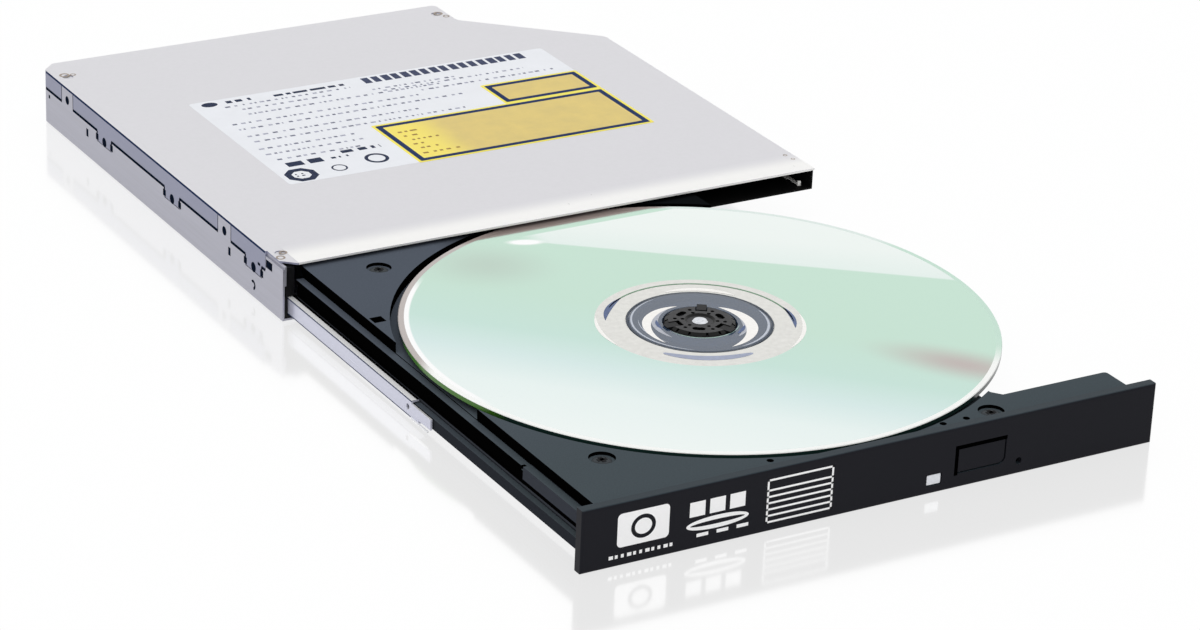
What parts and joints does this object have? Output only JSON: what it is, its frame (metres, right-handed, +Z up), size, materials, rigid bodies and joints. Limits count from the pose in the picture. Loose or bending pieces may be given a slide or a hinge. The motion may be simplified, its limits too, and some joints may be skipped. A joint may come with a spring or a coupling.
{
  "type": "slim optical disc drive",
  "caption": "Slim notebook disc drive with its tray slid out of a flat steel case on two rails, a disc clamped on the hub, and an eject button in the black bezel.",
  "frame": {"origin": "under the middle of the open drive, at the bezel's lower edge", "axes": "+X to the right seen from the front, +Y from the bezel to the rear connector, +Z up"},
  "size_m": [0.128, 0.2486, 0.0127],
  "materials": {
    "case_steel": "bright cold rolled steel sheet, satin",
    "cover_steel": "pale coated steel sheet, satin",
    "bezel_plastic": "black moulded plastic, fine spark texture",
    "button_plastic": "black moulded plastic, fine spark texture",
    "tray_plastic": "dark grey glass-filled plastic, matt",
    "guide_plastic": "black acetal",
    "rail_steel": "bright pressed steel",
    "board_green": "solder mask over glass fibre board",
    "chip_black": "moulded chip packages",
    "contact_gold": "gold plated contacts",
    "connector_plastic": "black moulded plastic",
    "screw_steel": "nickel plated screws",
    "spring_steel": "spring steel",
    "flex_film": "amber polyimide film",
    "rubber": "soft black rubber",
    "frame_steel": "zinc plated pressed steel",
    "rod_steel": "ground and polished rod",
    "pickup_zinc": "die cast metal",
    "copper": "enamelled copper wire",
    "magnet_dark": "bonded magnet",
    "rotor_steel": "turned and plated steel",
    "hub_plastic": "black moulded plastic",
    "disc_film": "clear plastic disc with a mirror layer",
    "lens_glass": "coated glass lens",
    "lamp_clear": "milky clear plastic"
  },
  "bodies": {
    "case": {"bottom_case": "case_steel", "top_cover": "cover_steel", "left_rail_guide": "guide_plastic", "right_rail_guide": "guide_plastic", "main_board": "board_green", "board_chips": "chip_black", "board_screws": "screw_steel", "cover_screws": "screw_steel", "rear_connector": "connector_plastic", "connector_contacts": "contact_gold", "flex_socket": "connector_plastic", "flex_cable": "flex_film", "latch_post": "screw_steel", "ground_spring": "spring_steel"},
    "left_rail_slider": {"left_rail": "rail_steel"},
    "right_rail_slider": {"right_rail": "rail_steel"},
    "tray_drawer": {"tray": "tray_plastic", "bezel": "bezel_plastic", "light_pipe": "lamp_clear", "button_board": "board_green", "button_switch": "chip_black", "activity_led": "lamp_clear", "rubber_mounts": "rubber", "mount_screws": "screw_steel", "tray_bottom_cover": "frame_steel", "bottom_cover_screws": "screw_steel", "latch_pin": "rod_steel", "solenoid_coil": "copper", "solenoid_bracket": "frame_steel", "flex_clamp": "guide_plastic", "eject_spring": "spring_steel", "mechanism_frame": "frame_steel", "screw_bracket": "connector_plastic", "main_guide_rod": "rod_steel", "side_guide_rod": "rod_steel", "sled_motor": "frame_steel", "spindle_base": "frame_steel", "stator_coils": "copper"},
    "spindle": {"spindle_rotor": "rotor_steel", "rotor_magnet": "magnet_dark", "turntable_pad": "rubber", "clamp_hub": "hub_plastic", "hub_pin": "rotor_steel", "disc": "disc_film"},
    "first_pawl": {"pawl_1": "hub_plastic"},
    "second_pawl": {"pawl_2": "hub_plastic"},
    "third_pawl": {"pawl_3": "hub_plastic"},
    "pickup_sled": {"pickup_body": "pickup_zinc", "pickup_cover": "frame_steel", "screw_follower": "guide_plastic", "focus_magnets": "magnet_dark"},
    "lens_carrier": {"lens_holder": "connector_plastic", "objective_lens": "lens_glass"},
    "feed_screw": {"lead_screw": "rotor_steel"},
    "button": {"eject_button": "button_plastic", "switch_plunger": "connector_plastic"},
    "latch": {"latch_lever": "guide_plastic"},
    "latch_magnet": {"solenoid_plunger": "rotor_steel"},
    "ejector": {"eject_plunger": "guide_plastic"}
  },
  "joints": [
    {"name": "tray_slide", "type": "slide", "parent": "case", "child": "tray_drawer", "axis": [0, 1, 0], "range_m": [0, 0.12], "deforming": ["flex_cable"]},
    {"name": "left_rail_slide", "type": "slide", "parent": "case", "child": "left_rail_slider", "axis": [0, 1, 0], "range_m": [0, 0.0623]},
    {"name": "right_rail_slide", "type": "slide", "parent": "case", "child": "right_rail_slider", "axis": [0, 1, 0], "range_m": [0, 0.0623]},
    {"name": "spindle_spin", "type": "hinge", "parent": "tray_drawer", "child": "spindle", "pos_m": [0, -0.05935, 0.008], "axis": [0, 0, 1], "continuous": true},
    {"name": "sled_slide", "type": "slide", "parent": "tray_drawer", "child": "pickup_sled", "axis": [-0.7071, -0.7071, 0], "range_m": [0, 0.033]},
    {"name": "lens_focus", "type": "slide", "parent": "pickup_sled", "child": "lens_carrier", "axis": [0, 0, 1], "range_m": [-0.0003, 0.0003], "stiffness_N_per_m": 50},
    {"name": "feed_screw_spin", "type": "hinge", "parent": "tray_drawer", "child": "feed_screw", "pos_m": [-0.02729, -0.06034, 0.0046], "axis": [-0.7071, -0.7071, 0], "range_deg": [0, 3965]},
    {"name": "button_press", "type": "slide", "parent": "tray_drawer", "child": "button", "axis": [0, 1, 0], "range_m": [0, 0.0005], "stiffness_N_per_m": 600},
    {"name": "latch_turn", "type": "hinge", "parent": "tray_drawer", "child": "latch", "pos_m": [0.024, -0.11585, 0.0028], "axis": [0, 0, 1], "range_deg": [0, 11.5], "stiffness_Nm_per_rad": 0.01},
    {"name": "latch_magnet_pull", "type": "slide", "parent": "tray_drawer", "child": "latch_magnet", "axis": [-1, 0, 0], "range_m": [0, 0.0014]},
    {"name": "ejector_push", "type": "slide", "parent": "tray_drawer", "child": "ejector", "axis": [0, -1, 0], "range_m": [0, 0.01], "deforming": ["eject_spring"]},
    {"name": "first_pawl_slide", "type": "slide", "parent": "spindle", "child": "first_pawl", "axis": [-0.5592, -0.829, 0], "range_m": [0, 0.0006], "stiffness_N_per_m": 300},
    {"name": "second_pawl_slide", "type": "slide", "parent": "spindle", "child": "second_pawl", "axis": [0.9976, -0.0698, 0], "range_m": [0, 0.0006], "stiffness_N_per_m": 300},
    {"name": "third_pawl_slide", "type": "slide", "parent": "spindle", "child": "third_pawl", "axis": [-0.4384, 0.8988, 0], "range_m": [0, 0.0006], "stiffness_N_per_m": 300}
  ],
  "couplings": [
    {"joint": "left_rail_slide", "follows": "tray_slide", "ratio": 0.51917},
    {"joint": "right_rail_slide", "follows": "tray_slide", "ratio": 0.51917},
    {"joint": "ejector_push", "follows": "tray_slide", "ratio": 0.083333},
    {"joint": "feed_screw_spin", "follows": "sled_slide", "rad_per_m": 2094.4},
    {"joint": "latch_turn", "follows": "latch_magnet_pull", "rad_per_m": 142.86}
  ]
}
